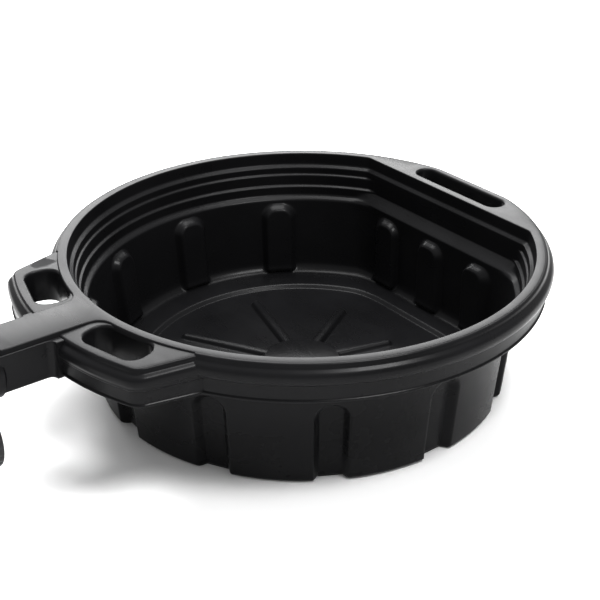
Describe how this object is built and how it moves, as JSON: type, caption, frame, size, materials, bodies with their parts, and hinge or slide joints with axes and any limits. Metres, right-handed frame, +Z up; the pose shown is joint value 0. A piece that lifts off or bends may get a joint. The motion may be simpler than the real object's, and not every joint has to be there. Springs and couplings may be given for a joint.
{
  "type": "oil drain pan",
  "caption": "Black plastic oil drain pan: a round tub with one flat side, a stepped rim, hand grips and a pouring spout whose screw cap hangs on a tether.",
  "frame": {"origin": "centre of the round tub, on the ground under its base", "axes": "+Z up, spout towards -X, flat side and its grip towards +X"},
  "size_m": [0.5725, 0.456, 0.135],
  "materials": {
    "pan_plastic": "satin moulded polyethylene",
    "cap_plastic": "satin moulded polyethylene",
    "gasket_rubber": "matt nitrile rubber",
    "tether_plastic": "soft satin plastic"
  },
  "bodies": {
    "tub": {"pan": "pan_plastic"},
    "tether_top": {"tether_neck_ring": "tether_plastic", "tether_strap_upper": "tether_plastic"},
    "tether_bottom": {"tether_strap_lower": "tether_plastic", "tether_eye": "tether_plastic"},
    "cap": {"spout_cap": "cap_plastic", "cap_gasket": "gasket_rubber"}
  },
  "joints": [
    {"name": "tether_turn", "type": "hinge", "parent": "tub", "child": "tether_top", "pos_m": [-0.317, 0, 0.1095], "axis": [1, 0, 0], "continuous": true},
    {"name": "tether_bend", "type": "hinge", "parent": "tether_top", "child": "tether_bottom", "pos_m": [-0.33816, 0, 0.08006], "axis": [0, 1, 0], "range_deg": [0, 90]},
    {"name": "cap_turn", "type": "hinge", "parent": "tether_bottom", "child": "cap", "pos_m": [-0.3405, 0, 0.05], "axis": [1, 0, 0], "continuous": true}
  ]
}
